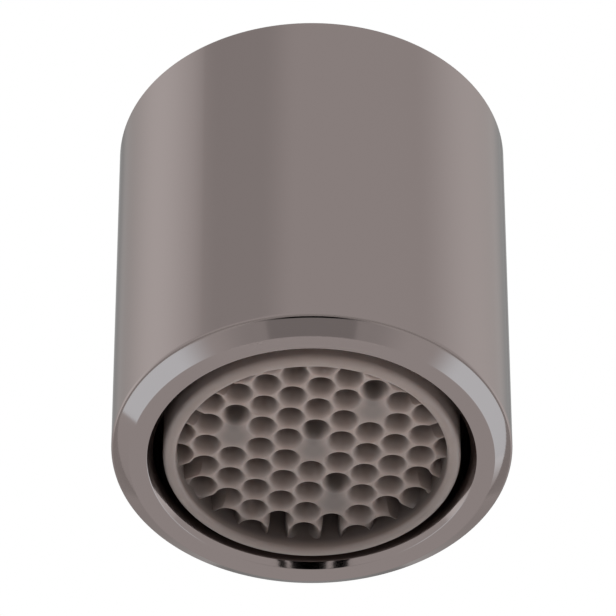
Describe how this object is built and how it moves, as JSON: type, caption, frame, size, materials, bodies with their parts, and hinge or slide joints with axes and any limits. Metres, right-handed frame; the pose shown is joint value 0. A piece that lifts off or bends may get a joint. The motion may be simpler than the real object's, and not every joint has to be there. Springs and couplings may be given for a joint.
{
  "type": "tap aerator",
  "caption": "Round metal sleeve that screws on a tap spout, holding a plastic insert that mixes air into the water behind a honeycomb outlet.",
  "frame": {"origin": "centre of the outlet face, at the bottom of the sleeve", "axes": "+Z along the water path, from the outlet up to the threaded inlet; X and Y across it"},
  "size_m": [0.024, 0.024, 0.0255],
  "materials": {
    "graphite_metal": "satin graphite coating on turned brass",
    "grey_plastic": "smooth moulded acetal, warm grey",
    "inner_plastic": "smooth moulded acetal, pale",
    "black_rubber": "matt moulded rubber"
  },
  "bodies": {
    "root": {"sleeve": "graphite_metal", "outlet_honeycomb": "grey_plastic", "lower_mixing_star": "inner_plastic", "upper_mixing_star": "inner_plastic", "insert_jacket": "grey_plastic", "jet_plate": "inner_plastic", "regulator_ring": "black_rubber", "inlet_strainer": "inner_plastic", "flat_seal": "black_rubber"}
  },
  "joints": []
}
